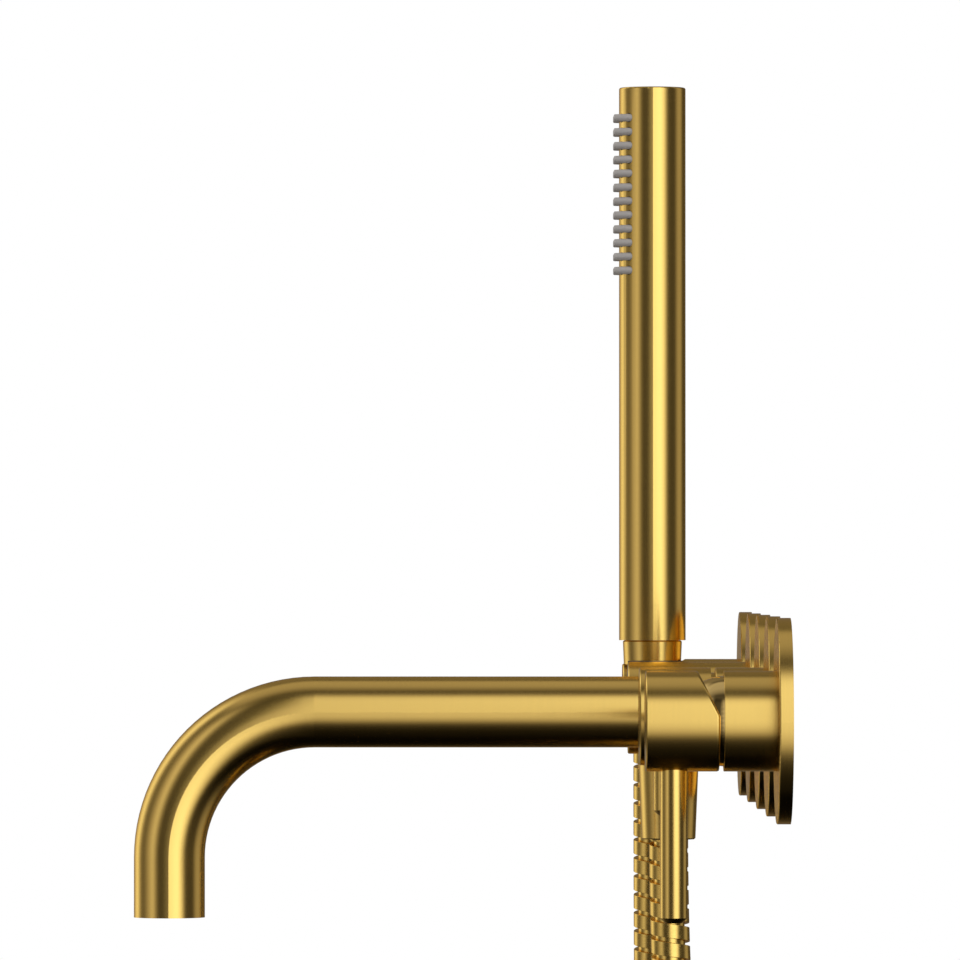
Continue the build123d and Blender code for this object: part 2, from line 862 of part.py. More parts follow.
def spray_chamber():
    """The plastic tube behind the nozzle mat, with a window that feeds the nozzles."""
    outer = handset_bore_radius - mat_thickness - 2 * slip_gap
    inner = outer - chamber_wall
    low = nozzle_bottom_row - chamber_margin
    high = nozzle_top_row + chamber_margin
    neck_bore = flow_tube_diameter / 2 + slip_gap
    chamber = upright([
        (neck_bore, low),
        (outer, low),
        (outer, high),
        (0, high),
        (0, high - chamber_wall),
        (inner, high - chamber_wall),
        (inner, low + chamber_wall),
        (neck_bore, low + chamber_wall),
    ])
    window_low = nozzle_bottom_row - mat_margin / 2
    window_high = nozzle_top_row + mat_margin / 2
    window = front_sector(chamber_window_half_angle, window_low, window_high)
    return chamber - (window & ring_up(outer + cut_overrun, inner - cut_overrun, window_low, window_high))


def flow_tube():
    outer = flow_tube_diameter / 2
    low = handset_bottom + connector_length + slip_gap
    high = nozzle_bottom_row - chamber_margin + chamber_wall
    return ring_up(outer, outer - flow_tube_wall, low, high)


def handset_connector():
    """The brass plug in the hand shower's foot, with the hose thread below it."""
    outer = handset_bore_radius - slip_gap
    top = handset_bottom + connector_length
    return upright([
        (hose_water_bore / 2, handset_nut_top - hose_thread_length),
        (hose_thread_radius, handset_nut_top - hose_thread_length),
        (hose_thread_radius, handset_bottom),
        (outer, handset_bottom),
        (outer, top),
        (flow_tube_diameter / 2 - flow_tube_wall, top),
        (flow_tube_diameter / 2 - flow_tube_wall, top - connector_rim),
        (hose_water_bore / 2, top - connector_rim),
    ])


def ribbed_hose(top, bottom):
    """A straight hose stretch from a top height down: ribs with grooves between them, and a bore.

    Its ends are plain for a hose diameter."""
    crest = hose_radius
    groove = hose_radius - rib_groove_depth
    rib_top = top - hose_diameter
    ribs = int((rib_top - bottom - hose_diameter) / rib_pitch)
    stations = [(top, crest)]
    for rib in range(ribs):
        start = rib_top - rib * rib_pitch
        stations.append((start, crest))
        stations.append((start - rib_slope_width, groove))
        stations.append((start - rib_slope_width - rib_groove_width, groove))
        stations.append((start - 2 * rib_slope_width - rib_groove_width, crest))
    stations.append((bottom, crest))
    sections = [Pos(0, 0, height) * Circle(radius) for height, radius in stations]
    return loft(sections, ruled=True) - rod_up(hose_bore / 2, bottom - cut_overrun, top + cut_overrun)


def coil_knots():
    """Points and directions along the coil, from the outlet's hose round to the hand shower's.

    A run joins the circle on an arc of the merge radius, and a climb to the next layer
    goes over the top of the coil."""
    middle_x = (place_x("outlet") + place_x("holder")) / 2
    merge_reach = coil_radius + coil_merge_radius
    exit_angle = degrees(acos((hose_ends_spread / 2 + coil_merge_radius) / merge_reach))
    merge_height = coil_centre_height + merge_reach * sin(radians(exit_angle))
    climb_length = coil_radius * radians(2 * climb_half_angle)
    climb_slope = climb_slope_share * coil_layer_pitch / climb_length

    def on_circle(angle, layer, slope=0):
        point = Vector(
            middle_x + coil_radius * cos(radians(angle)),
            -coil_back_depth - coil_layer_pitch * layer,
            coil_centre_height + coil_radius * sin(radians(angle)),
        )
        return point, Vector(sin(radians(angle)), -slope, -cos(radians(angle))).normalized()

    down = Vector(0, 0, -1)
    knots = [
        (Vector(place_x("outlet"), -outlet_axis_depth, hose_split_height), down),
        (Vector(place_x("outlet"), -coil_back_depth, merge_height), down),
        on_circle(exit_angle, 0),
    ]
    last_angle = exit_angle
    for layer in range(coil_climbs):
        climb_start = climb_half_angle - 3 / 4 * full_turn - full_turn * layer
        knots.append(on_circle((last_angle + climb_start) / 2, layer))
        knots.append(on_circle(climb_start, layer))
        knots.append(on_circle(climb_start - climb_half_angle, layer + 1 / 2, climb_slope))
        last_angle = climb_start - 2 * climb_half_angle
        knots.append(on_circle(last_angle, layer + 1))
    leave_angle = -full_turn / 2 - full_turn * coil_climbs - exit_angle
    knots.append(on_circle((last_angle + leave_angle) / 2, coil_climbs))
    knots.append(on_circle(leave_angle, coil_climbs))
    front_depth = coil_back_depth + coil_climbs * coil_layer_pitch
    knots.append((Vector(place_x("holder"), -front_depth, merge_height), -down))
    knots.append((Vector(place_x("holder"), -holder_axis_depth, hose_split_height), -down))
    return knots


def biarc(first, second):
    """Two tangent arcs between two points with given directions."""
    (p0, t0), (p1, t1) = first, second
    chord = p1 - p0
    total = t0 + t1
    a = 2 * (t0.dot(t1) - 1)
    b = -2 * chord.dot(total)
    c = chord.dot(chord)
    if abs(a) < straight_tolerance:
        reach = -c / b
    else:
        reach = (-b - sqrt(b * b - 4 * a * c)) / (2 * a)
    control0 = p0 + t0 * reach
    control1 = p1 - t1 * reach
    joint = (control0 + control1) * 0.5
    joint_tangent = (control1 - control0).normalized()
    return [Edge.make_tangent_arc(p0, t0, joint), Edge.make_tangent_arc(joint, joint_tangent, p1)]


def coil_path():
    """The coil's line as one wire of tangent arcs, with short straight ends."""
    knots = coil_knots()
    stub = hose_diameter
    start, start_way = knots[0]
    end, end_way = knots[-1]
    knots[0] = (start + start_way * stub, start_way)
    knots[-1] = (end - end_way * stub, end_way)
    edges = [Edge.make_line(start, knots[0][0])]
    for first, second in zip(knots, knots[1:]):
        edges += biarc(first, second)
    edges.append(Edge.make_line(knots[-1][0], end))
    return edges


def least_gap(edges):
    """The least clear distance between turns, measured on points along the coil."""
    wire = Wire(edges)
    length = wire.length
    points = [wire.position_at(step / gap_samples) for step in range(gap_samples + 1)]
    apart = int(gap_samples * hose_diameter * 4 / length) + 1
    least = length
    for first in range(len(points)):
        for second in range(first + apart, len(points)):
            least = min(least, (points[first] - points[second]).length)
    return least - hose_diameter


def hose_coil(edges):
    wire = Wire(edges)
    plane = Plane(origin=wire.position_at(0), z_dir=wire.tangent_at(0))
    return sweep(plane * Circle(hose_radius), wire)


def hose_ties():
    """Two straps round the coil's turns."""
    middle_x = (place_x("outlet") + place_x("holder")) / 2
    inner_high = hose_diameter + 2 * tie_gap
    layers_deep = coil_climbs * coil_layer_pitch
    inner_deep = hose_diameter + layers_deep + 2 * tie_gap
    outer_high = inner_high + 2 * tie_thickness
    outer_deep = inner_deep + 2 * tie_thickness
    outer_face = RectangleRounded(outer_deep, outer_high, tie_corner_radius + tie_thickness)
    inner_face = RectangleRounded(inner_deep, inner_high, tie_corner_radius)
    strap = extrude(Plane.YZ * (outer_face - inner_face), tie_width / 2, both=True)
    straps = []
    for angle in tie_angles:
        turned_strap = Rot(0, 90 - angle, 0) * strap
        x = middle_x + coil_radius * cos(radians(angle))
        z = coil_centre_height + coil_radius * sin(radians(angle))
        straps.append(Pos(x, -coil_back_depth - layers_deep / 2, z) * turned_strap)
    return Compound(children=straps)


def build_common():
    for unit in places_share:
        outer = spout_radius if unit == "spout" else unit_radius
        keep(f"{unit}_rosette", rosette(outer + bore_gap), unit)
        keep(f"{unit}_rosette_gasket", rosette_gasket(), unit)
    for unit in ("mixer", "diverter"):
        keep(f"{unit}_sleeve", sleeve(), unit)


def build_mixer():
    keep("mixer_valve_body", mixer_valve_body(), "mixer")
    keep("mixer_port_seals", port_seals(), "mixer")
    keep("mixer_cartridge", mixer_cartridge(), "mixer")
    keep("mixer_fixed_disc", fixed_disc(), "mixer")
    keep("mixer_moving_disc", moving_disc(), "mixer")
    keep("mixer_cartridge_nut", cartridge_nut(), "mixer")
    keep("mixer_dome", mixer_dome(), "mixer")
    keep("mixer_carrier", mixer_carrier(), "mixer")
    keep("mixer_pivot_pin", mixer_pivot_pin(), "mixer", pivot_depth)
    keep("mixer_stem", mixer_stem(), "mixer")
    keep("mixer_handle", mixer_handle(), "mixer")
    keep("mixer_lever_pin", lever_pin(mixer_lever_tip), "mixer", lever_depth)
    tip = -stem_square / 2 - slip_gap
    keep("mixer_grub_screw", grub_screw(tip, grub_length, grub_diameter), "mixer", lever_depth)


def build_diverter():
    keep("diverter_valve_body", diverter_valve_body(), "diverter")
    keep("diverter_headpart", diverter_headpart(), "diverter")
    keep("diverter_spindle", diverter_spindle(), "diverter")
    keep("diverter_collar", diverter_collar(), "diverter")
    keep("diverter_handle", diverter_handle(), "diverter")
    keep("diverter_lever_pin", lever_pin(diverter_lever_tip), "diverter", lever_depth)
    tip = -spindle_diameter / 2 - slip_gap
    keep("diverter_grub_screw", grub_screw(tip, grub_length, grub_diameter), "diverter", lever_depth)


def build_spout():
    keep("spout_tube", spout_tube(), "spout")
    keep("spout_socket", spout_socket(), "spout")
    keep("spout_seals", spout_seals(), "spout")
    length = spout_radius - spout_grub_tip_radius - slip_gap
    screw = grub_screw(-spout_grub_tip_radius - slip_gap, length, spout_grub_diameter)
    keep("spout_grub_screw", screw, "spout", spout_grub_depth)
    keep("aerator_housing", aerator_housing(), "spout", spout_reach)
    keep("aerator_insert", aerator_insert(), "spout", spout_reach)


def build_outlet():
    keep("outlet_body", outlet_body(), "outlet")
    keep("outlet_check_valve", check_valve(), "outlet")
    keep("outlet_nipple", nipple(), "outlet", outlet_axis_depth)
    keep("outlet_seal_washer", seal_washer(), "outlet", outlet_axis_depth, outlet_nut_top)
    keep("outlet_hose_ferrule", hose_ferrule(), "outlet", outlet_axis_depth, outlet_nut_top)
    keep("outlet_hose_nut", hose_nut(), "outlet", outlet_axis_depth, outlet_nut_top)


def build_holder():
    keep("holder_body", holder_body(), "holder")
    keep("holder_cup", holder_cup(), "holder")
    keep("holder_wall_boss", wall_boss(), "holder")
    tip = -wall_boss_diameter / 2 - slip_gap
    screw = grub_screw(tip, holder_grub_length, holder_grub_diameter)
    keep("holder_grub_screw", screw, "holder", holder_grub_depth)


def build_handset():
    keep("handset_tube", handset_tube(), "holder", holder_axis_depth)
    keep("handset_nozzles", handset_nozzles(), "holder", holder_axis_depth)
    keep("handset_spray_chamber", spray_chamber(), "holder", holder_axis_depth)
    keep("handset_flow_tube", flow_tube(), "holder", holder_axis_depth)
    keep("handset_connector", handset_connector(), "holder", holder_axis_depth)
    keep("handset_seal_washer", seal_washer(), "holder", holder_axis_depth, handset_nut_top)
    keep("handset_hose_ferrule", hose_ferrule(), "holder", holder_axis_depth, handset_nut_top)
    keep("handset_hose_nut", hose_nut(), "holder", holder_axis_depth, handset_nut_top)


def build_hose():
    below_flange = hose_thread_length + washer_thickness + ferrule_flange_thickness + hose_start_drop
    outlet_top = outlet_nut_top - below_flange
    handset_top_end = handset_nut_top - below_flange
    outlet_run = ribbed_hose(outlet_top, hose_split_height)
    keep("hose_outlet_run", outlet_run, "outlet", outlet_axis_depth)
    handset_run = ribbed_hose(handset_top_end, hose_split_height)
    keep("hose_handset_run", handset_run, "holder", holder_axis_depth)
    edges = coil_path()
    keep("hose_coil", hose_coil(edges))
    keep("hose_ties", hose_ties())
    radii = [edge.radius for edge in edges if edge.geom_type == GeomType.CIRCLE]
    length = sum(edge.length for edge in edges)
    runs = outlet_top - hose_split_height + handset_top_end - hose_split_height
    print("hose length between flanges, mm:", round(length + runs, 1))
    print("smallest radius in the coil, mm:", round(min(radii), 1))
    print("least gap between turns, mm:", round(least_gap(edges), 2))


def main():
    build_common()
    build_mixer()
    build_diverter()
    build_spout()
    build_outlet()
    build_holder()
    build_handset()
    build_hose()
    os.makedirs("parts", exist_ok=True)
    for name, shape in parts.items():
        export_step(shape, f"parts/{name}.step")
    print("nodes:", len(parts))


main()
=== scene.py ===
import json
from bisect import bisect_right
from math import acos, cos, degrees, pi, radians, sin, sqrt, tan

import bmesh
import bpy
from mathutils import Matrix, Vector


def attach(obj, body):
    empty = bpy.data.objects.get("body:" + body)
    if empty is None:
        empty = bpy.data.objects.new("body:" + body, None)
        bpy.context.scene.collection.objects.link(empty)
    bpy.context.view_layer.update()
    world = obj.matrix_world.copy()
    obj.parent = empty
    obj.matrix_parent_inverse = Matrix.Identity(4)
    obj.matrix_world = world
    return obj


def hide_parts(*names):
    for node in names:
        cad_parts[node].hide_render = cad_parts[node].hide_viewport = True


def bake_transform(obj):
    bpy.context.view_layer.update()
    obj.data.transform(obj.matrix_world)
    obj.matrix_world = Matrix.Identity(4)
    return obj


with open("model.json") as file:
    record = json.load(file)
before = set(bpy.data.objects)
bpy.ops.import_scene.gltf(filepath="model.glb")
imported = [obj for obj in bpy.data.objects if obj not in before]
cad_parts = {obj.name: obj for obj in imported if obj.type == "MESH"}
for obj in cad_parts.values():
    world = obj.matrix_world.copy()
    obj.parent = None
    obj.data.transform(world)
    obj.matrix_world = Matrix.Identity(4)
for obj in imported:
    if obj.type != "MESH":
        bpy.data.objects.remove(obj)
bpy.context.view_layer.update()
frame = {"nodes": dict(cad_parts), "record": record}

mm = 0.001
full_turn = 360.0
join_distance = 0.000001

# Directions: along the row, out of the wall and upwards
row_way = Vector((1, 0, 0))
out_way = Vector((0, -1, 0))
up_way = Vector((0, 0, 1))

# Camera of the photograph: far off along +X, with a long lens
camera_place = (3.904, -0.1273, 0.0567)
camera_way = (-10114.0, 40.0, 85.0)
camera_lens = 379.3
camera_sensor = 36.0
camera_clip = (0.1, 30.0)

# Row of fittings, in millimetres as in the part's source
unit_spacing = 115.0
outlet_x = -unit_spacing
holder_x = -2 * unit_spacing
outlet_axis_depth = 36.5
holder_axis_depth = 40.5
lever_depth = 42.4
spout_reach = 231.7
unit_radius = 18.3
unit_length = 52.7
unit_chamfer = 0.4

# Hose: its line's points for the two free runs, as (depth, height), and its coil
outlet_nut_low = -52.2
handset_nut_low = -8.3
nut_overlap = 8.0
outlet_run = ((36.5, -134.0), (22.0, -171.0))
handset_run = ((38.4, -165.0), (40.5, -141.0))
coil_radius = 94.0
coil_merge_radius = 64.0
coil_centre_height = -290.0
coil_points = 21
coil_back_depth = 22.0
coil_layer_pitch = 16.4
coil_climbs = 1
climb_half_angle = 52.0
line_resolution = 32
hose_diameter = 15.6

# Hose surface: one left-handed groove, as (place along the pitch, depth below the crest)
rib_pitch = 7.449
rib_start = 5.15
rib_profile = (
    (-1.05, 0.0), (-0.96, 0.08), (-0.93, 1.85), (-0.85, 1.92), (0.85, 1.92), (0.93, 1.85),
    (0.96, 0.08), (1.05, 0.0), (3.72, 0.0),
)
rib_segments = 40

# Straps round the coil, a hook-and-loop band that laps over itself
strap_angles = (-60.0, -120.0)
strap_width = 10.0
strap_thickness = 0.9
strap_gap = 0.3
strap_lap = 17.0
strap_lap_lift = 0.15
strap_steps = 96
strap_edge = 0.25

# Mixer handle's cap: a rear rim cut back on a slope above a height, and a ball-shaped cavity
handle_back_depth = 26.0
handle_floor_depth = 39.8
rim_break_height = 2.2
rim_angle = 25.8
cavity_radius = 16.7
cavity_steps = 12
rim_rounds = 8
pivot_depth = 24.2

# Its bevelled rim, as (inset from the outside, distance in front of the rim)
handle_rim_bevel = (
    (0.0, 1.0), (0.0, 0.84), (0.03, 0.72), (0.28, 0.12), (0.38, 0.02), (0.5, 0.0), (0.6, 0.0),
)

# Mixer sleeve: a tube whose front edge is only just broken
sleeve_bore_radius = 16.7
sleeve_front_depth = 24.3
sleeve_edge = 0.1

# Lever pins: the lower end as (radius, height above the tip), then the thread inside the handle
lever_tips = {"mixer": 73.4, "diverter": 37.0}
lever_places = {"mixer": 2 * unit_spacing, "diverter": unit_spacing}
lever_end_profile = ((2.9, 0.0), (3.15, 0.08), (4.85, 1.72), (4.97, 1.88), (5.0, 2.1))
lever_top = 17.4
lever_thread_radius = 3.0
lever_thread_top = 9.6

# Spray nozzles: pegs that all point forward, their tips as (radius, reach from the tube's axis)
handset_top = 251.8
tube_radius = 13.6
nozzle_rows = 12
nozzle_top_inset = 12.6
nozzle_field_length = 62.3
nozzle_columns = (-8.9, -5.0, 0.0, 5.0, 8.9)
nozzle_root_depth = 2.4
nozzle_root_radius = 1.65
nozzle_tip = (
    (1.42, 15.3), (1.36, 15.62), (1.22, 15.8), (1.0, 15.88), (0.75, 15.9), (0.55, 15.86),
    (0.48, 15.7), (0.44, 14.6), (0.0, 14.4),
)
nozzle_segments = 20

# The mat behind the tube's wall that joins the nozzles
mat_radii = (11.0, 12.1)
mat_half_angle = 56.0
mat_margin = 5.0
mat_steps = 24

# Turned pieces, and the angles from which an edge is shaded as sharp
turned_segments = 144
turned_sharp_angle = 28.0
moulded_sharp_angle = 40.0

# Brushed gold: its colours, its gloss from line to line, and the lines' scales and grain
gold_colour = (0.87, 0.585, 0.15, 1)
gold_worn_colour = (0.85, 0.57, 0.155, 1)
gold_edge_tint = (1.0, 0.85, 0.6, 1)
gold_roughness = (0.2, 0.25)
dome_colour = (0.92, 0.66, 0.24, 1)
dome_roughness = (0.05, 0.07)
brush_fine = 4200.0
brush_coarse = 70.0
brush_detail = 3.0
brush_grain = 0.6

# Other finishes: the noise's usual span, then each one's values; a noise is (scale, detail)
noise_span = (0.3, 0.7)
hose_roughness = (0.2, 0.28)
hose_noise = (900.0, 2.0)
silicone_colours = ((0.33, 0.305, 0.285, 1), (0.28, 0.26, 0.24, 1))
silicone_roughness = (0.38, 0.5)
silicone_noise = (700.0, 3.0)
weave_pitch = 0.9
webbing_colours = ((0.016, 0.016, 0.018, 1), (0.07, 0.07, 0.075, 1))
webbing_roughness = 0.85
webbing_noise = (3.0, 4.0)
floor_colours = ((0.78, 0.77, 0.75, 1), (0.82, 0.81, 0.79, 1))
floor_roughness = 0.8
floor_noise = (40.0, 4.0)

# Quiet finishes of the inner pieces, as colour, roughness and metallic share
quiet_finishes = {
    "raw_brass": ((0.78, 0.55, 0.24), 0.3, 1.0),
    "seal_rubber": ((0.02, 0.02, 0.02), 0.6, 0.0),
    "white_plastic": ((0.8, 0.8, 0.77), 0.4, 0.0),
    "dark_plastic": ((0.03, 0.03, 0.032), 0.4, 0.0),
    "valve_ceramic": ((0.85, 0.84, 0.8), 0.15, 0.0),
    "screw_steel": ((0.6, 0.6, 0.62), 0.3, 1.0),
}
quiet_dark_share = 0.85
quiet_gloss_shares = (0.9, 1.1)
quiet_noise = (1200.0, 3.0)

# Bumps, as (strength, distance in metres)
brush_bump = (0.05, 0.00002)
silicone_bump = (0.03, 0.00004)
webbing_bump = (0.6, 0.0002)
quiet_bump = (0.05, 0.00005)

# Studio: brightness round the horizon, as (azimuth, share of the full level)
studio_level = 1.8
studio_tints = ((1.06, 0.98, 0.94, 1), (0.92, 1.0, 1.1, 1))
studio_round = (
    (-180, 0.1), (-160, 0.12), (-144, 0.36), (-132, 0.62), (-124, 0.65), (-114, 0.36),
    (-105, 0.12), (-93, 0.07), (-84, 0.11), (-70, 0.25), (-58, 0.42), (-52, 0.4), (-42, 0.12),
    (-34, 0.03), (-12, 0.04), (-6, 0.15), (0, 0.52), (6, 0.87), (20, 0.95), (28, 1.0), (38, 0.76),
    (44, 0.5), (50, 0.13), (55, 0.03), (84, 0.035), (96, 0.2), (108, 0.25), (116, 0.21),
    (126, 0.05), (136, 0.03), (152, 0.06), (180, 0.1),
)

# Studio: how the panels fade with height above the horizon, as (elevation, share)
studio_fade = (
    (-90, 0.005), (-66, 0.01), (-52, 0.025), (-42, 0.06), (-36, 0.16), (-30, 0.36), (-24, 0.57),
    (-12, 0.85), (0, 0.97), (42, 1.0), (48, 0.9), (54, 0.55), (60, 0.1), (66, 0.0), (90, 0.0),
)

# Studio: the dim ceiling and the elevations where it sets in, as (angle over the top, brightness)
ceiling_from = (54.0, 62.0)
ceiling_levels = (
    (0, 0.07), (72, 0.07), (82, 0.26), (94, 0.4), (118, 0.44), (130, 0.3), (142, 0.2), (180, 0.17),
)

# Studio: the white backdrop behind the object, as far as mirrored rays meet it
backdrop_half_angle = 1.0

# Soft key lamp for the matt surfaces
lamp_way = (-0.5, 0.75, -1.0)
lamp_energy = 2.2
lamp_angle = 40.0

# Stage floor, in metres
floor_height = -0.5
floor_radius = 3.0
floor_segments = 128


def place_camera():
    data = bpy.data.cameras.new("camera")
    data.lens = camera_lens
    data.sensor_width = camera_sensor
    data.clip_start, data.clip_end = camera_clip
    camera = bpy.data.objects.new("camera", data)
    camera.location = camera_place
    camera.rotation_euler = Vector(camera_way).to_track_quat("-Z", "Y").to_euler()
    bpy.context.scene.collection.objects.link(camera)
    bpy.context.scene.camera = camera


def add_node(tree, kind, inputs=None, **settings):
    """A node with its settings, and its inputs given as values or as other nodes' outputs."""
    made = tree.nodes.new(kind)
    for name, value in settings.items():
        setattr(made, name, value)
    for key, value in (inputs or {}).items():
        if isinstance(value, bpy.types.NodeSocket):
            tree.links.new(value, made.inputs[key])
        else:
            made.inputs[key].default_value = value
    return made


def calc(tree, operation, *values):
    inputs = {index: value for index, value in enumerate(values)}
    return add_node(tree, "ShaderNodeMath", inputs, operation=operation).outputs[0]


def remap(tree, value, span, to_span=(0.0, 1.0)):
    """A value's place in one span, carried over to another."""
    inputs = {
        "Value": value,
        "From Min": span[0],
        "From Max": span[1],
        "To Min": to_span[0],
        "To Max": to_span[1],
    }
    return add_node(tree, "ShaderNodeMapRange", inputs).outputs["Result"]


def mixed(tree, share, colours):
    """Two colours mixed by a share; they are the node's inputs 6 and 7."""
    inputs = {0: share, 6: colours[0], 7: colours[1]}
    return add_node(tree, "ShaderNodeMix", inputs, data_type="RGBA").outputs[2]


def grey_ramp(tree, value, stops):
    """A colour ramp of grey levels, from (place, level) stops."""
    made = add_node(tree, "ShaderNodeValToRGB", {"Fac": value})
    elements = made.color_ramp.elements
    elements.remove(elements[1])
    for index, (place, level) in enumerate(stops):
        element = elements[0] if index == 0 else elements.new(place)
        element.position = place
        element.color = (level, level, level, 1)
    return made.outputs["Color"]


def angle_ramp(tree, angle, stops):
    """A ramp over the whole turn, from (degrees, level) stops."""
    places = [(degrees_place / full_turn + 1 / 2, level) for degrees_place, level in stops]
    return grey_ramp(tree, remap(tree, angle, (-pi, pi)), places)


def build_world():
    """A studio of soft panels round the object, in front of a white backdrop."""
    world = bpy.data.worlds.new("studio")
    world.use_nodes = True
    tree = world.node_tree
    tree.nodes.clear()
    way = add_node(tree, "ShaderNodeTexCoord").outputs["Generated"]
    parts = add_node(tree, "ShaderNodeSeparateXYZ", {0: way}).outputs
    azimuth = calc(tree, "ARCTAN2", parts["Y"], parts["X"])
    elevation = calc(tree, "ARCSINE", parts["Z"])
    over_top = calc(tree, "ARCTAN2", parts["Z"], parts["X"])
    level = calc(tree, "MULTIPLY", angle_ramp(tree, azimuth, studio_round), studio_level)
    level = calc(tree, "MULTIPLY", level, angle_ramp(tree, elevation, studio_fade))
    above = remap(tree, elevation, [radians(angle) for angle in ceiling_from])
    ceiling = calc(tree, "MULTIPLY", angle_ramp(tree, over_top, ceiling_levels), above)
    level = calc(tree, "ADD", level, ceiling)
    tint = mixed(tree, remap(tree, level, (0.0, studio_level)), studio_tints)
    light = add_node(tree, "ShaderNodeVectorMath", {0: tint, 1: level}, operation="MULTIPLY")
    panels = add_node(tree, "ShaderNodeBackground", {"Color": light.outputs[0]})
    white = add_node(tree, "ShaderNodeBackground", {"Color": (1, 1, 1, 1)})
    ray = add_node(tree, "ShaderNodeLightPath").outputs
    behind = calc(tree, "LESS_THAN", parts["X"], -cos(radians(backdrop_half_angle)))
    mirrored = calc(tree, "MAXIMUM", ray["Is Glossy Ray"], ray["Is Transmission Ray"])
    seen = calc(tree, "MAXIMUM", ray["Is Camera Ray"], calc(tree, "MULTIPLY", mirrored, behind))
    lights = {0: seen, 1: panels.outputs[0], 2: white.outputs[0]}
    mix = add_node(tree, "ShaderNodeMixShader", lights)
    add_node(tree, "ShaderNodeOutputWorld", {"Surface": mix.outputs[0]})
    bpy.context.scene.world = world


def build_lamp():
    """A wide soft lamp; the metals show the studio's panels instead of it."""
    data = bpy.data.lights.new("key_lamp", "SUN")
    data.energy = lamp_energy
    data.angle = radians(lamp_angle)
    lamp = bpy.data.objects.new("key_lamp", data)
    lamp.rotation_euler = Vector(lamp_way).to_track_quat("-Z", "Y").to_euler()
    lamp.visible_glossy = False
    bpy.context.scene.collection.objects.link(lamp)


def new_material(name):
    material = bpy.data.materials.new(name)
    material.use_nodes = True
    tree = material.node_tree
    tree.nodes.clear()
    shader = add_node(tree, "ShaderNodeBsdfPrincipled")
    add_node(tree, "ShaderNodeOutputMaterial", {"Surface": shader.outputs[0]})
    return material, tree, shader


def coordinates(tree, kind="Object"):
    return add_node(tree, "ShaderNodeTexCoord").outputs[kind]


def noise_at(tree, place, scale, detail):
    inputs = {"Vector": place, "Scale": scale, "Detail": detail}
    return add_node(tree, "ShaderNodeTexNoise", inputs).outputs["Fac"]


def set_colour(tree, shader, share, colours):
    tree.links.new(mixed(tree, share, colours), shader.inputs["Base Color"])


def set_gloss(tree, shader, noise, roughness):
    tree.links.new(remap(tree, noise, noise_span, roughness), shader.inputs["Roughness"])


def set_bump(tree, shader, height, bump):
    inputs = {"Strength": bump[0], "Distance": bump[1], "Height": height}
    made = add_node(tree, "ShaderNodeBump", inputs)
    tree.links.new(made.outputs[0], shader.inputs["Normal"])


def turned_place(tree, upright, depth):
    """Coordinates for lathe lines round a fitting's axis: out of the wall, or up at a depth."""
    parts = add_node(tree, "ShaderNodeSeparateXYZ", {0: coordinates(tree)}).outputs
    across = calc(tree, "WRAP", parts["X"], unit_spacing * mm / 2, -unit_spacing * mm / 2)
    if upright:
        other = calc(tree, "ADD", parts["Y"], depth * mm)
        along = parts["Z"]
    else:
        other = parts["Z"]
        along = parts["Y"]
    flat = add_node(tree, "ShaderNodeCombineXYZ", {0: across, 1: other}).outputs[0]
    radius = add_node(tree, "ShaderNodeVectorMath", {0: flat}, operation="LENGTH").outputs["Value"]
    slow = calc(tree, "ADD", across, other)
    return add_node(tree, "ShaderNodeCombineXYZ", {
        0: calc(tree, "MULTIPLY", radius, brush_fine),
        1: calc(tree, "MULTIPLY", along, brush_fine),
        2: calc(tree, "MULTIPLY", slow, brush_coarse),
    }).outputs[0]


def brushed_gold(name, upright, depth, colours, gloss):
    material, tree, shader = new_material(name)
    lines = add_node(tree, "ShaderNodeTexNoise", {
        "Vector": turned_place(tree, upright, depth),
        "Scale": 1.0,
        "Detail": brush_detail,
        "Roughness": brush_grain,
    }).outputs["Fac"]
    shader.inputs["Metallic"].default_value = 1
    shader.inputs["Specular Tint"].default_value = gold_edge_tint
    set_colour(tree, shader, lines, colours)
    set_gloss(tree, shader, lines, gloss)
    set_bump(tree, shader, lines, brush_bump)
    return material


golds = {}


def gold_about(upright=False, depth=0.0):
    """Brushed gold turned about the wall's normal, or about an upright axis at a depth.

    It is made once for each axis."""
    if (upright, depth) not in golds:
        label = f"gold_up_{depth:g}".replace(".", "_") if upright else "gold_out"
        colours = (gold_colour, gold_worn_colour)
        golds[upright, depth] = brushed_gold(label, upright, depth, colours, gold_roughness)
    return golds[upright, depth]


def hose_gold():
    material, tree, shader = new_material("hose_gold")
    noise = noise_at(tree, coordinates(tree), *hose_noise)
    shader.inputs["Base Color"].default_value = gold_colour
    shader.inputs["Specular Tint"].default_value = gold_edge_tint
    shader.inputs["Metallic"].default_value = 1
    set_gloss(tree, shader, noise, hose_roughness)
    return material


def silicone():
    """Grey silicone with a satin skin."""
    material, tree, shader = new_material("nozzle_silicone")
    noise = noise_at(tree, coordinates(tree), *silicone_noise)
    set_colour(tree, shader, noise, silicone_colours)
    set_gloss(tree, shader, noise, silicone_roughness)
    set_bump(tree, shader, noise, silicone_bump)
    return material


def strap_webbing():
    """Dark webbing: a fine check of raised threads, unevenly worn."""
    material, tree, shader = new_material("tie_strap")
    place = coordinates(tree, "UV")
    parts = add_node(tree, "ShaderNodeSeparateXYZ", {0: place}).outputs
    along = calc(tree, "SINE", calc(tree, "MULTIPLY", parts["X"], 2 * pi / weave_pitch))
    across = calc(tree, "SINE", calc(tree, "MULTIPLY", parts["Y"], 2 * pi / weave_pitch))
    weave = remap(tree, calc(tree, "MULTIPLY", along, across), (-1.0, 1.0))
    fuzz = noise_at(tree, place, *webbing_noise)
    set_colour(tree, shader, calc(tree, "MULTIPLY", weave, fuzz), webbing_colours)
    shader.inputs["Roughness"].default_value = webbing_roughness
    set_bump(tree, shader, weave, webbing_bump)
    return material


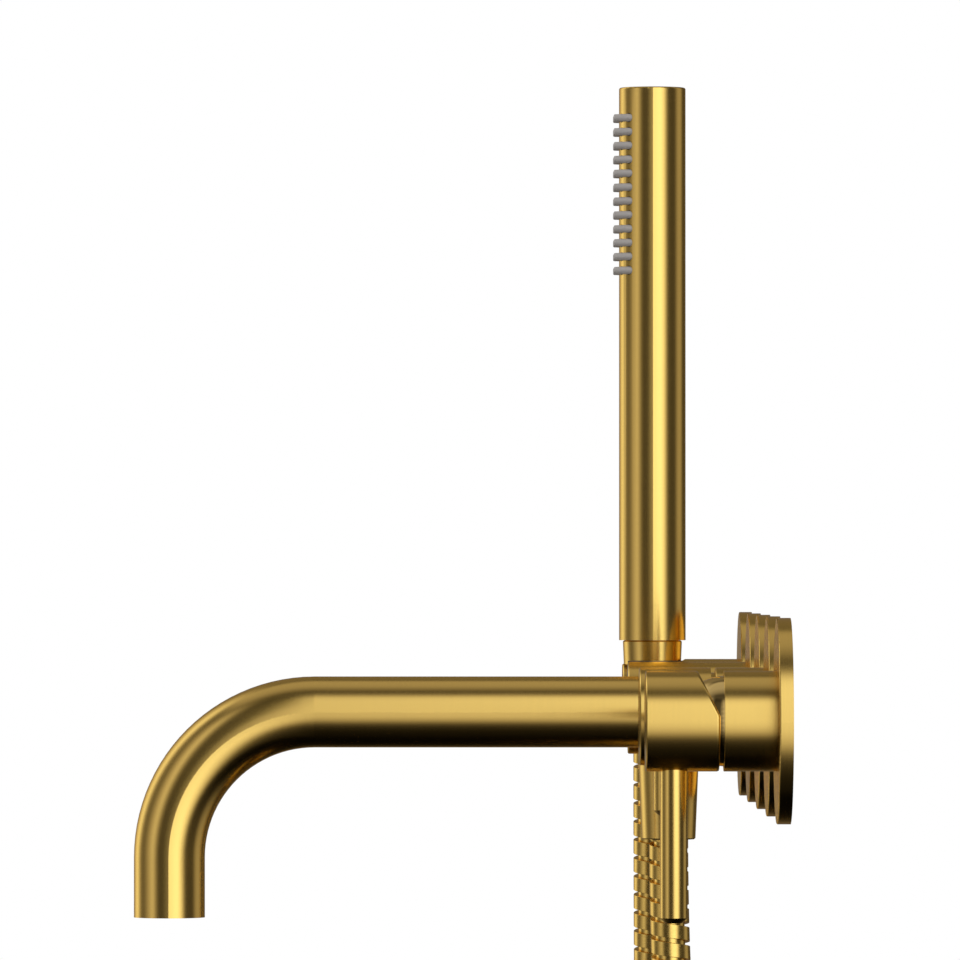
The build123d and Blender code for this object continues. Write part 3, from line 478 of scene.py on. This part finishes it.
def quiet_finish(name, colour, roughness, metallic):
    """A quiet moulded, turned or lapped finish that varies a little, with a fine bump."""
    material, tree, shader = new_material(name)
    noise = noise_at(tree, coordinates(tree), *quiet_noise)
    darker = tuple(quiet_dark_share * part for part in colour)
    set_colour(tree, shader, noise, ((*colour, 1), (*darker, 1)))
    set_gloss(tree, shader, noise, [share * roughness for share in quiet_gloss_shares])
    shader.inputs["Metallic"].default_value = metallic
    set_bump(tree, shader, noise, quiet_bump)
    return material


def dress_nodes():
    """Each CAD node gets the material of its slot; a gold one by the axis that it was turned about.

    The hose, its ties and the nozzles are left out, because pieces made here replace them."""
    upright_depths = {
        "handset_": holder_axis_depth,
        "outlet_hose_nut": outlet_axis_depth,
        "aerator_housing": spout_reach,
    }
    quiet = {name: quiet_finish(name, *values) for name, values in quiet_finishes.items()}
    dome_gold = brushed_gold("gold_dome", False, 0.0, (dome_colour, dome_colour), dome_roughness)
    for part in frame["record"]["subparts"]:
        name, slot = part["node"], part["material_slot"]
        if name == "mixer_dome":
            material = dome_gold
        elif slot == "brushed_gold":
            depths = [depth for start, depth in upright_depths.items() if name.startswith(start)]
            material = gold_about(True, depths[0]) if depths else gold_about()
        elif slot in quiet:
            material = quiet[slot]
        else:
            continue
        for place in frame["nodes"][name].material_slots:
            place.material = material


def mesh_object(name, vertices, faces, material, smooth=True):
    mesh = bpy.data.meshes.new(name)
    mesh.from_pydata(vertices, [], faces)
    mesh.validate()
    mesh.polygons.foreach_set("use_smooth", [smooth] * len(mesh.polygons))
    mesh.materials.append(material)
    made = bpy.data.objects.new(name, mesh)
    bpy.context.scene.collection.objects.link(made)
    return made


def clean_mesh(made):
    """Join the points that meet, drop what has no area and turn every face outwards."""
    work = bmesh.new()
    work.from_mesh(made.data)
    bmesh.ops.remove_doubles(work, verts=work.verts, dist=join_distance)
    bmesh.ops.recalc_face_normals(work, faces=work.faces)
    work.to_mesh(made.data)
    work.free()


def circle(centre, side, up, radius, segments=turned_segments):
    """Points round a centre, in the plane of two directions."""
    angles = [2 * pi * segment / segments for segment in range(segments)]
    return [centre + (side * cos(angle) + up * sin(angle)) * radius for angle in angles]


def add_quads(faces, base, rows, corners):
    """Faces between rings of equally many corners, whose first vertex has the number base."""
    for row in range(rows - 1):
        start = base + row * corners
        above = start + corners
        for corner in range(corners):
            after = (corner + 1) % corners
            faces.append((start + corner, start + after, above + after, above + corner))


def add_ends(faces, base, rows, corners):
    """A flat face on the first ring and one on the last."""
    last = base + (rows - 1) * corners
    faces.append(tuple(base + corner for corner in reversed(range(corners))))
    faces.append(tuple(last + corner for corner in range(corners)))


def turned_piece(name, rings, material, hollow=False):
    """A piece with a skin over rings of equally many points, in millimetres.

    A hollow piece comes back to its first ring; another one has a flat face at each end."""
    if hollow:
        rings = [*rings, rings[0]]
    corners = len(rings[0])
    vertices = [point * mm for ring in rings for point in ring]
    faces = []
    add_quads(faces, 0, len(rings), corners)
    if not hollow:
        add_ends(faces, 0, len(rings), corners)
    made = mesh_object(name, vertices, faces, material)
    clean_mesh(made)
    made.data.set_sharp_from_angle(angle=radians(turned_sharp_angle))
    return made


def hose_points():
    """The hose line's points: a run down, the coil's turns and a run up.

    The coil's ends follow from where a run joins its circle on the merge radius."""
    half_spread = (outlet_x - holder_x) / 2
    middle_x = (outlet_x + holder_x) / 2
    both_radii = coil_radius + coil_merge_radius
    exit_angle = degrees(acos((half_spread + coil_merge_radius) / both_radii))
    merge_height = coil_centre_height + both_radii * sin(radians(exit_angle))
    corner_height = merge_height - coil_merge_radius * tan(radians(exit_angle / 2))
    front_depth = coil_back_depth + coil_climbs * coil_layer_pitch
    whole_angle = full_turn / 2 + full_turn * coil_climbs + 2 * exit_angle
    step = whole_angle / coil_points
    reach = coil_radius / cos(radians(step / 2))
    points = [(outlet_x, -outlet_axis_depth, outlet_nut_low + nut_overlap)]
    points += [(outlet_x, -depth, height) for depth, height in outlet_run]
    points.append((outlet_x, -coil_back_depth, corner_height))
    for index in range(coil_points):
        angle = exit_angle - step * (index + 1 / 2)
        depth = coil_back_depth
        for climb in range(coil_climbs):
            start = climb_half_angle - 3 / 4 * full_turn - full_turn * climb
            share = min(1, max(0, (start - angle) / (2 * climb_half_angle)))
            depth += coil_layer_pitch * share * share * (3 - 2 * share)
        points.append((
            middle_x + reach * cos(radians(angle)),
            -depth,
            coil_centre_height + reach * sin(radians(angle)),
        ))
    points.append((holder_x, -front_depth, corner_height))
    points += [(holder_x, -depth, height) for depth, height in handset_run]
    points.append((holder_x, -holder_axis_depth, handset_nut_low + nut_overlap))
    return [Vector(point) * mm for point in points]


def spline_line(points):
    """Close points along the smooth spline that has these points as its control points."""
    curve = bpy.data.curves.new("line", "CURVE")
    curve.dimensions = "3D"
    curve.resolution_u = line_resolution
    spline = curve.splines.new("NURBS")
    spline.points.add(len(points) - 1)
    for target, point in zip(spline.points, points):
        target.co = (*point, 1)
    spline.order_u = 3
    spline.use_endpoint_u = True
    carrier = bpy.data.objects.new("line", curve)
    bpy.context.scene.collection.objects.link(carrier)
    shaped = carrier.evaluated_get(bpy.context.evaluated_depsgraph_get())
    mesh = bpy.data.meshes.new_from_object(shaped)
    line = [vertex.co.copy() for vertex in mesh.vertices]
    bpy.data.objects.remove(carrier)
    bpy.data.curves.remove(curve)
    bpy.data.meshes.remove(mesh)
    return line


class Line:
    """A line's points with their lengths from the start and untwisted cross directions."""

    def __init__(self, points):
        self.points = points
        self.lengths = [0.0]
        self.sides = []
        side = -out_way
        for index, point in enumerate(points):
            after = points[min(index + 1, len(points) - 1)]
            before = points[max(index - 1, 0)]
            way = (after - before).normalized()
            side = (side - way * side.dot(way)).normalized()
            self.sides.append((side.copy(), way.cross(side)))
            if index:
                self.lengths.append(self.lengths[-1] + (point - before).length)

    def at(self, length):
        """The centre and the two cross directions at a length from the start."""
        length = min(max(length, 0), self.lengths[-1])
        index = min(bisect_right(self.lengths, length), len(self.points) - 1)
        share = (length - self.lengths[index - 1]) / (self.lengths[index] - self.lengths[index - 1])
        centre = self.points[index - 1].lerp(self.points[index], share)
        first, second = self.sides[index - 1], self.sides[index]
        return centre, first[0].lerp(second[0], share), first[1].lerp(second[1], share)


def hose_vertices(line):
    """Rings that lie along the groove, one for each point of its profile on each turn.

    Where a ring passes one of the hose's ends, it goes on at the full radius."""
    total = line.lengths[-1]
    turns = int(total / (rib_pitch * mm)) + 2
    vertices = []
    for turn in range(turns):
        for place, depth in rib_profile:
            start = (rib_start + turn * rib_pitch + place) * mm
            radius = (hose_diameter / 2 - depth) * mm
            for segment in range(rib_segments):
                length = start - rib_pitch * mm * segment / rib_segments
                if length <= 0 or length >= total:
                    radius = hose_diameter / 2 * mm
                centre, side, up = line.at(length)
                angle = 2 * pi * segment / rib_segments
                vertices.append(centre + (side * cos(angle) + up * sin(angle)) * radius)
    return vertices


def hose_faces(rings):
    """Faces between the rings; the last segment of each meets the first of one a turn before."""
    faces = []
    for index in range(rings - 1):
        for segment in range(rib_segments):
            last = segment == rib_segments - 1
            ahead = index - len(rib_profile) if last else index
            after = 0 if last else segment + 1
            if ahead < 0:
                continue
            faces.append((
                index * rib_segments + segment,
                ahead * rib_segments + after,
                (ahead + 1) * rib_segments + after,
                (index + 1) * rib_segments + segment,
            ))
    return faces


def build_hose(straps):
    """The hose as one skin with a single left-handed groove wound along it."""
    line = Line(spline_line(hose_points()))
    vertices = hose_vertices(line)
    faces = hose_faces(len(vertices) // rib_segments)
    made = mesh_object("hose", vertices, faces, hose_gold())
    made.data.set_sharp_from_angle(angle=radians(moulded_sharp_angle))
    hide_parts("hose_outlet_run", "hose_coil", "hose_handset_run")
    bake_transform(made)


def strap_path():
    """The band's middle line, with its lap over the start.

    Its points are (depth, distance outwards, angle of the band's outside, length so far)."""
    half_high = hose_diameter / 2 + strap_gap + strap_thickness / 2
    half_straight = coil_climbs * coil_layer_pitch / 2
    straight = 2 * half_straight
    arc = pi * half_high
    around = 2 * straight + 2 * arc
    path = []
    for index in range(strap_steps + 1):
        length = (around + strap_lap) * index / strap_steps
        lift = max(0.0, min(1.0, (length - around + strap_lap / 2) / (strap_lap / 2)))
        lift *= strap_thickness + strap_lap_lift
        here = (length + straight / 2) % around
        if here < straight:
            centre, angle = here - half_straight, pi / 2
        elif here < straight + arc:
            centre, angle = half_straight, pi / 2 - (here - straight) / half_high
        elif here < 2 * straight + arc:
            centre, angle = half_straight - (here - straight - arc), -pi / 2
        else:
            centre, angle = -half_straight, -pi / 2 - (here - 2 * straight - arc) / half_high
        radius = half_high + lift
        path.append((centre + radius * cos(angle), radius * sin(angle), angle, length))
    return path


def strap_profile():
    """The band's cross-section, as (place across the width, place through the thickness)."""
    wide, thick = strap_width / 2, strap_thickness / 2
    flat, straight = wide - strap_edge, thick - strap_edge
    return (
        (-wide, -straight), (-flat, -thick), (flat, -thick), (wide, -straight),
        (wide, straight), (flat, thick), (-flat, thick), (-wide, straight),
    )


def build_straps():
    """Two bands round the coil's turns, each a flat webbing with soft edges and a lap."""
    middle_x = (outlet_x + holder_x) / 2
    middle_depth = coil_back_depth + coil_climbs * coil_layer_pitch / 2
    profile = strap_profile()
    path = strap_path()
    vertices, faces, places = [], [], []
    for turned in strap_angles:
        radial = Vector((cos(radians(turned)), 0, sin(radians(turned))))
        tangent = Vector((-sin(radians(turned)), 0, cos(radians(turned))))
        middle = Vector((middle_x, -middle_depth, coil_centre_height)) + radial * coil_radius
        base = len(vertices)
        for deep, high, angle, length in path:
            outside = out_way * cos(angle) + radial * sin(angle)
            centre = middle + out_way * deep + radial * high
            for side, thick in profile:
                vertices.append((centre + tangent * side + outside * thick) * mm)
                places.append((length, side + thick))
        add_quads(faces, base, len(path), len(profile))
        add_ends(faces, base, len(path), len(profile))
    made = mesh_object("coil_straps", vertices, faces, strap_webbing())
    layer = made.data.uv_layers.new(name="weave")
    for loop in made.data.loops:
        layer.data[loop.index].uv = places[loop.vertex_index]
    made.data.set_sharp_from_angle(angle=radians(moulded_sharp_angle))
    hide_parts("hose_ties")
    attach(made, "wall_set")
    return made


def add_nozzle(vertices, faces, axis, place):
    """One nozzle, from inside the tube's wall to its bored tip."""
    root = sqrt(tube_radius ** 2 - place ** 2) - nozzle_root_depth
    profile = ((nozzle_root_radius, root), *nozzle_tip)
    base = len(vertices)
    for radius, reach in profile:
        centre = axis + row_way * place + out_way * reach
        ring = circle(centre, row_way, up_way, radius, nozzle_segments)
        vertices += [point * mm for point in ring]
    add_quads(faces, base, len(profile), nozzle_segments)


def add_mat(vertices, faces, axis, low, high):
    """The mat that joins the nozzles, a part of a ring between two heights."""
    inner, outer = mat_radii
    section = ((inner, low), (outer, low), (outer, high), (inner, high))
    base = len(vertices)
    for step in range(mat_steps + 1):
        turned = radians(mat_half_angle * (2 * step / mat_steps - 1))
        radial = row_way * sin(turned) + out_way * cos(turned)
        vertices += [(axis + radial * radius + up_way * height) * mm for radius, height in section]
    add_quads(faces, base, mat_steps + 1, len(section))
    add_ends(faces, base, mat_steps + 1, len(section))


def build_nozzles():
    """The silicone nozzles, each with a rounded tip and a fine bore, and the mat behind them."""
    bottom_row = handset_top - nozzle_top_inset - nozzle_field_length
    top_row = bottom_row + nozzle_field_length
    row_pitch = nozzle_field_length / (nozzle_rows - 1)
    axis = Vector((holder_x, -holder_axis_depth, 0))
    vertices, faces = [], []
    for row in range(nozzle_rows):
        for place in nozzle_columns:
            add_nozzle(vertices, faces, axis + up_way * (bottom_row + row * row_pitch), place)
    add_mat(vertices, faces, axis, bottom_row - mat_margin, top_row + mat_margin)
    made = mesh_object("spray_nozzles", vertices, faces, silicone())
    clean_mesh(made)
    made.data.set_sharp_from_angle(angle=radians(moulded_sharp_angle))
    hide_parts("handset_nozzles")
    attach(made, "handset")


def build_levers():
    """The two lever pins, each with a bevelled lower end."""
    for unit, tip in lever_tips.items():
        axis = Vector((lever_places[unit], -lever_depth, 0))
        profile = [(radius, rise - tip) for radius, rise in lever_end_profile]
        shoulder = profile[-1][0]
        profile.append((shoulder, -lever_top))
        profile.append((lever_thread_radius, -lever_top))
        profile.append((lever_thread_radius, -lever_thread_top))
        rings = [
            circle(axis + up_way * height, row_way, -out_way, radius) for radius, height in profile
        ]
        made = turned_piece(f"{unit}_lever", rings, gold_about(True, lever_depth))
        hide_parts(f"{unit}_lever_pin")
        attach(made, f"{unit}_handle")


def rim_depth(height):
    """How deep the mixer cap's rear rim lies at a height."""
    return handle_back_depth + max(height - rim_break_height, 0) * tan(radians(rim_angle))


def cavity_rim(high):
    """The radius at which the cavity opens on the rim; high is the direction's upward share."""
    radius = cavity_radius
    for _ in range(rim_rounds):
        radius = sqrt(cavity_radius ** 2 - (rim_depth(radius * high) - pivot_depth) ** 2)
    return radius


def cap_section(high):
    """The cap's section in one direction, as (radius, depth) from the front face inwards."""
    section = [
        (unit_radius - unit_chamfer, unit_length),
        (unit_radius, unit_length - unit_chamfer),
        (unit_radius, unit_length - 2 * unit_chamfer),
    ]
    for inset, forward in handle_rim_bevel:
        radius = unit_radius - inset
        section.append((radius, rim_depth(radius * high) + forward))
    start = rim_depth(cavity_rim(high) * high)
    for step in range(cavity_steps + 1):
        depth = start + (handle_floor_depth - start) * step / cavity_steps
        section.append((sqrt(cavity_radius ** 2 - (depth - pivot_depth) ** 2), depth))
    return section


def build_mixer_cap():
    """The mixer handle's cap, from its front face round the bevelled rim into its cavity."""
    axis = row_way * lever_places["mixer"]
    columns = []
    for segment in range(turned_segments):
        angle = 2 * pi * segment / turned_segments
        radial = row_way * cos(angle) + up_way * sin(angle)
        section = cap_section(sin(angle))
        columns.append([axis + radial * radius + out_way * depth for radius, depth in section])
    made = turned_piece("mixer_cap", list(zip(*columns)), gold_about())
    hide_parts("mixer_handle")
    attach(made, "mixer_handle")


def build_mixer_sleeve():
    """The mixer's sleeve, a plain tube from the wall to its front edge."""
    axis = row_way * lever_places["mixer"]
    profile = (
        (sleeve_bore_radius, 0),
        (unit_radius, 0),
        (unit_radius, sleeve_front_depth - sleeve_edge),
        (unit_radius - sleeve_edge, sleeve_front_depth),
        (sleeve_bore_radius, sleeve_front_depth),
    )
    rings = [circle(axis + out_way * depth, row_way, up_way, radius) for radius, depth in profile]
    made = turned_piece("mixer_sleeve_tube", rings, gold_about(), hollow=True)
    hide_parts("mixer_sleeve")
    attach(made, "wall_set")


def build_floor():
    material, tree, shader = new_material("floor")
    noise = noise_at(tree, coordinates(tree), *floor_noise)
    set_colour(tree, shader, noise, floor_colours)
    shader.inputs["Roughness"].default_value = floor_roughness
    ring = circle(up_way * floor_height, row_way, -out_way, floor_radius, floor_segments)
    made = mesh_object("floor", ring, [tuple(range(floor_segments))], material, smooth=False)
    made.visible_glossy = False


place_camera()
build_world()
build_lamp()
dress_nodes()
build_hose(build_straps())
build_nozzles()
build_levers()
build_mixer_cap()
build_mixer_sleeve()
build_floor()

bpy.context.scene.view_settings.view_transform = "Standard"
